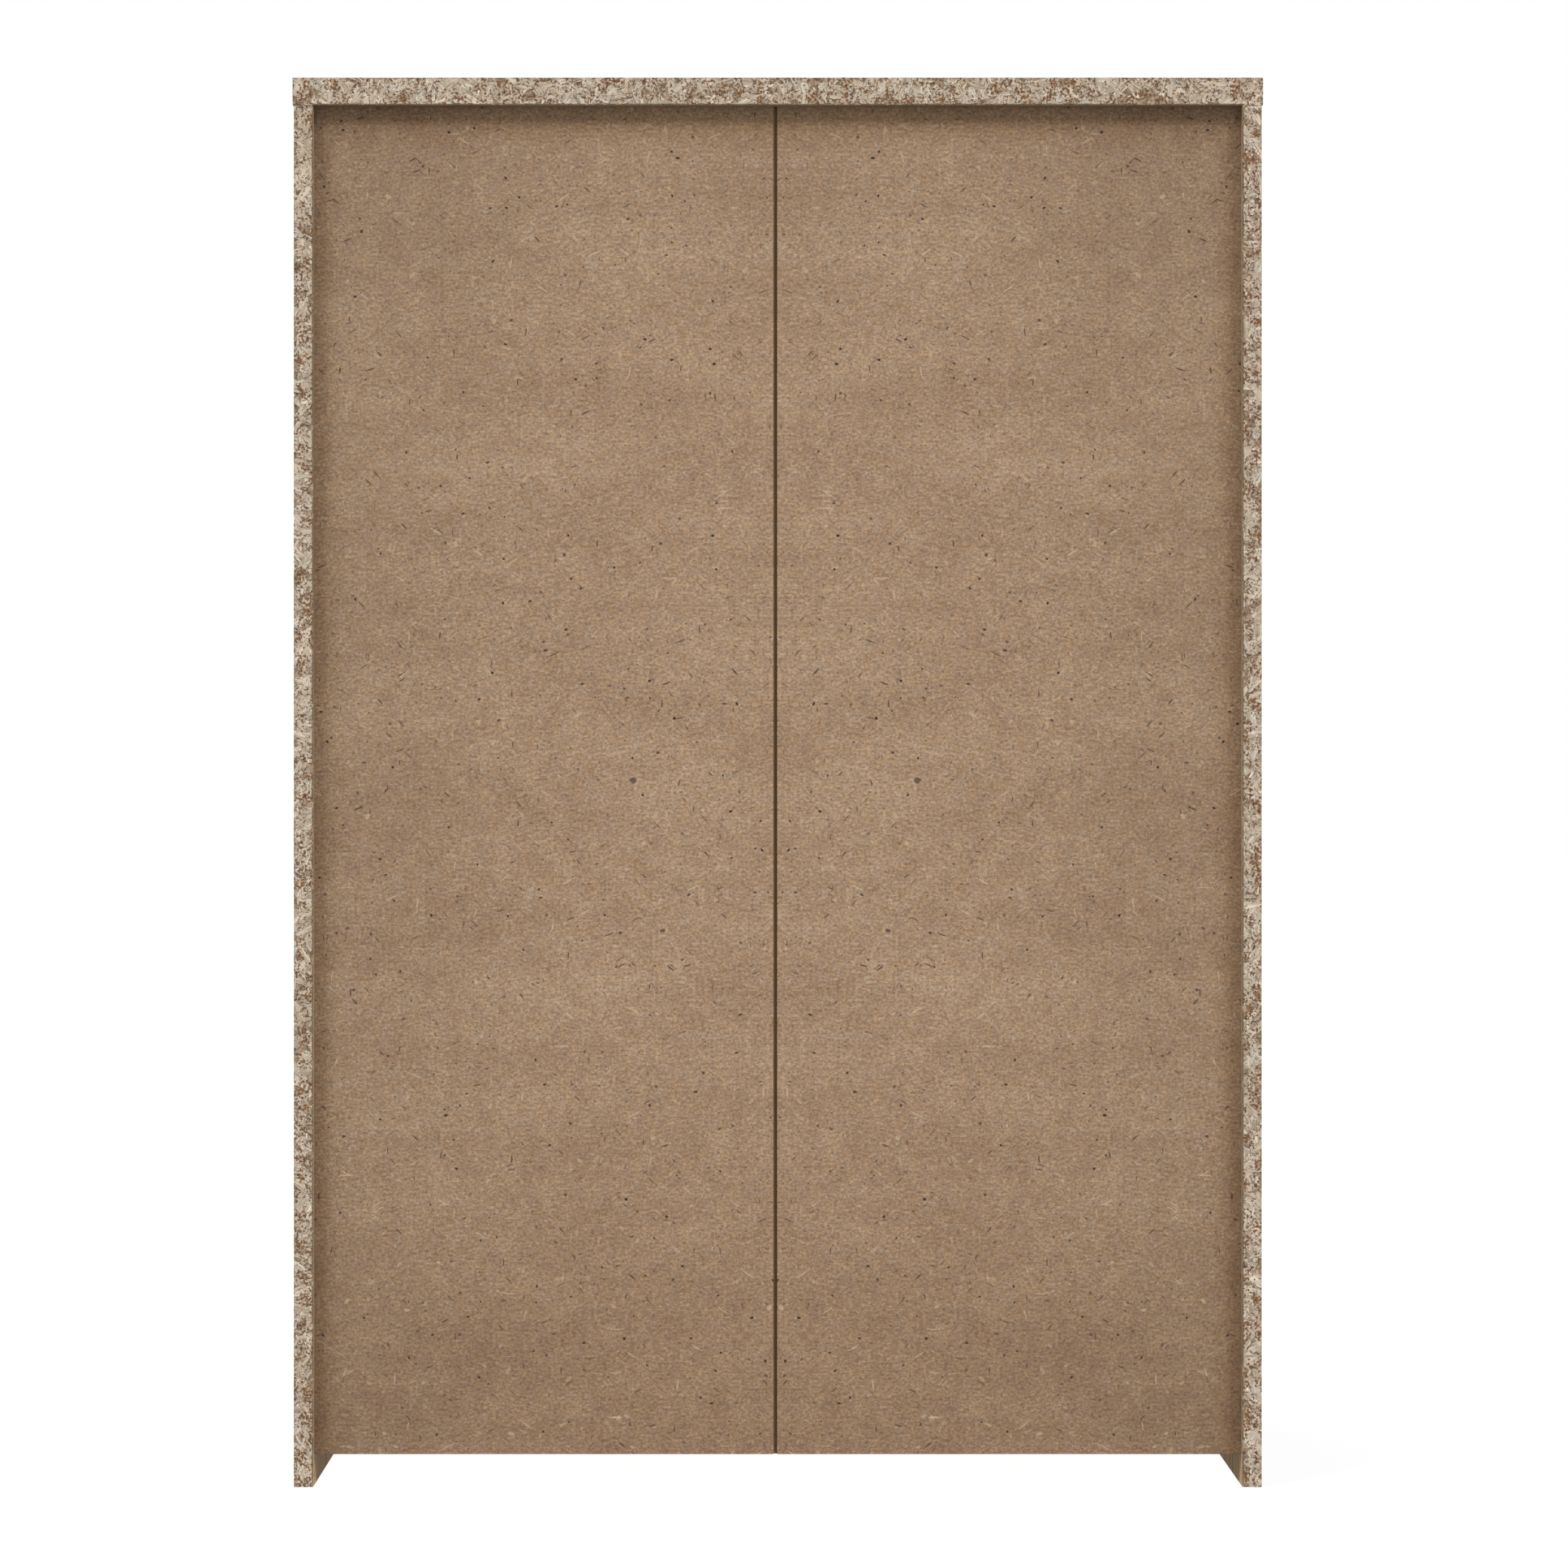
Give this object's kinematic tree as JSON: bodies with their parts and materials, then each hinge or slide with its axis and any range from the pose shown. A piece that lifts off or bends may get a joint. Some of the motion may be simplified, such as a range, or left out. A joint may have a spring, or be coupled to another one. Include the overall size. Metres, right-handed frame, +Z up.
{
  "type": "wardrobe",
  "caption": "Low free-standing wardrobe of board panels with hinged doors, a hanging compartment and a shelved one, and a recessed hardboard back.",
  "frame": {"origin": "on the floor under the middle of the bounding box, doors closed", "axes": "+Z up, the longest way; +Y towards the wall behind, front to back being the shortest way; the doors face -Y; +X to the right of a person facing the doors"},
  "size_m": [0.9, 0.5404, 1.307],
  "materials": {
    "oak_board": "satin melamine, oak pattern, raw chipboard on the back edges",
    "hardboard": "bare brown hardboard",
    "brushed_steel": "brushed",
    "nickel_steel": "nickel plated",
    "chrome": "polished",
    "brown_plastic": "moulded"
  },
  "bodies": {
    "carcass": {"top_panel": "oak_board", "bottom_panel": "oak_board", "centre_partition": "oak_board", "plinth": "oak_board", "centre_foot": "brown_plastic", "hanging_rail": "chrome", "rail_socket_outer": "chrome", "rail_socket_inner": "chrome", "shelf_lower": "oak_board", "shelf_fixed": "oak_board", "shelf_middle": "oak_board", "shelf_upper": "oak_board", "shelf_lower_pin_front_partition": "nickel_steel", "shelf_lower_pin_front_side": "nickel_steel", "shelf_lower_pin_rear_partition": "nickel_steel", "shelf_lower_pin_rear_side": "nickel_steel", "shelf_middle_pin_front_partition": "nickel_steel", "shelf_middle_pin_front_side": "nickel_steel", "shelf_middle_pin_rear_partition": "nickel_steel", "shelf_middle_pin_rear_side": "nickel_steel", "shelf_upper_pin_front_partition": "nickel_steel", "shelf_upper_pin_front_side": "nickel_steel", "shelf_upper_pin_rear_partition": "nickel_steel", "shelf_upper_pin_rear_side": "nickel_steel", "side_panel_left": "oak_board", "side_panel_right": "oak_board", "back_panel_left": "hardboard", "back_panel_right": "hardboard", "magnetic_catch_left": "brown_plastic", "magnetic_catch_right": "brown_plastic", "hinge_left_lower_carcass_leaf": "nickel_steel", "hinge_left_lower_pin": "nickel_steel", "hinge_left_middle_carcass_leaf": "nickel_steel", "hinge_left_middle_pin": "nickel_steel", "hinge_left_upper_carcass_leaf": "nickel_steel", "hinge_left_upper_pin": "nickel_steel", "hinge_right_lower_carcass_leaf": "nickel_steel", "hinge_right_lower_pin": "nickel_steel", "hinge_right_middle_carcass_leaf": "nickel_steel", "hinge_right_middle_pin": "nickel_steel", "hinge_right_upper_carcass_leaf": "nickel_steel", "hinge_right_upper_pin": "nickel_steel"},
    "door_left": {"door_panel_left": "oak_board", "strike_plate_left": "nickel_steel", "handle_bar_left": "brushed_steel", "handle_post_left_lower": "brushed_steel", "handle_post_left_upper": "brushed_steel", "hinge_left_lower_door_leaf": "nickel_steel", "hinge_left_middle_door_leaf": "nickel_steel", "hinge_left_upper_door_leaf": "nickel_steel"},
    "door_right": {"door_panel_right": "oak_board", "strike_plate_right": "nickel_steel", "handle_bar_right": "brushed_steel", "handle_post_right_lower": "brushed_steel", "handle_post_right_upper": "brushed_steel", "hinge_right_lower_door_leaf": "nickel_steel", "hinge_right_middle_door_leaf": "nickel_steel", "hinge_right_upper_door_leaf": "nickel_steel"}
  },
  "joints": [
    {"name": "door_left_hinge", "type": "hinge", "parent": "carcass", "child": "door_left", "pos_m": [-0.445, -0.2235, 0.655], "axis": [0, 0, -1], "range_deg": [0, 180]},
    {"name": "door_right_hinge", "type": "hinge", "parent": "carcass", "child": "door_right", "pos_m": [0.445, -0.2235, 0.655], "axis": [0, 0, 1], "range_deg": [0, 180]}
  ]
}
